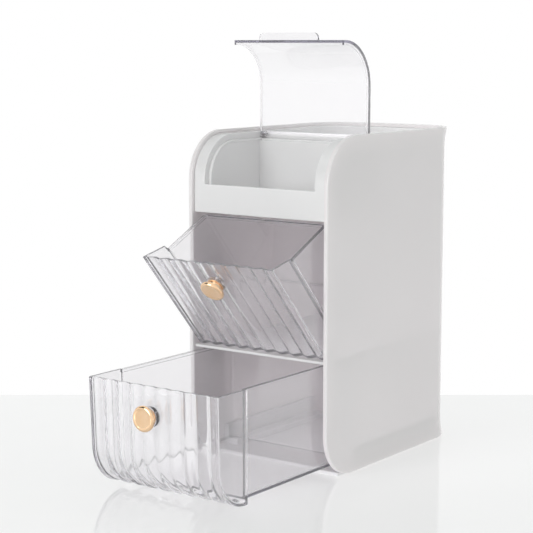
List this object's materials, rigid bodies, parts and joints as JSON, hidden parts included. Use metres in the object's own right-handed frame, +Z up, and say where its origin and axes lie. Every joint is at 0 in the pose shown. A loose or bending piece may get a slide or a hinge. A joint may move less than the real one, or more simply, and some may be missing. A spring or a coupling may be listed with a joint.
{
  "type": "makeup organizer",
  "caption": "White desktop makeup organizer with a clear curved flip lid over a top bin, a clear fluted tilt-out bin and a clear fluted drawer with gold knobs.",
  "frame": {"origin": "centre of the cabinet's footprint, on the underside of the base plate", "axes": "+Z up, +Y towards the back, +X to the right as seen from the front"},
  "size_m": [0.152, 0.3826, 0.3875],
  "materials": {
    "white_shell": "glossy white moulded plastic",
    "clear_plastic": "clear polished styrene",
    "gold": "polished gold plating",
    "steel": "bright steel"
  },
  "bodies": {
    "cabinet": {"casing": "white_shell", "front_frame": "white_shell", "rear_tray": "white_shell", "top_bin": "white_shell", "shelf": "white_shell", "base_plate": "white_shell", "runner_left": "white_shell", "runner_right": "white_shell", "lid_pin_left": "steel", "lid_pin_right": "steel"},
    "lid": {"lid": "clear_plastic"},
    "tilt_bin": {"tilt_bin": "clear_plastic", "bin_pin_left": "steel", "bin_pin_right": "steel", "bin_knob": "gold", "bin_collar": "clear_plastic", "bin_screw": "steel"},
    "drawer": {"drawer": "clear_plastic", "drawer_knob": "gold", "drawer_collar": "clear_plastic", "drawer_screw": "steel"}
  },
  "joints": [
    {"name": "lid_hinge", "type": "hinge", "parent": "cabinet", "child": "lid", "pos_m": [0, -0.0245, 0.295], "axis": [1, 0, 0], "range_deg": [0, 90]},
    {"name": "bin_tilt", "type": "hinge", "parent": "cabinet", "child": "tilt_bin", "pos_m": [0, -0.1068, 0.11346], "axis": [1, 0, 0], "range_deg": [-42, 0]},
    {"name": "drawer_slide", "type": "slide", "parent": "cabinet", "child": "drawer", "axis": [0, 1, 0], "range_m": [0, 0.146]}
  ]
}
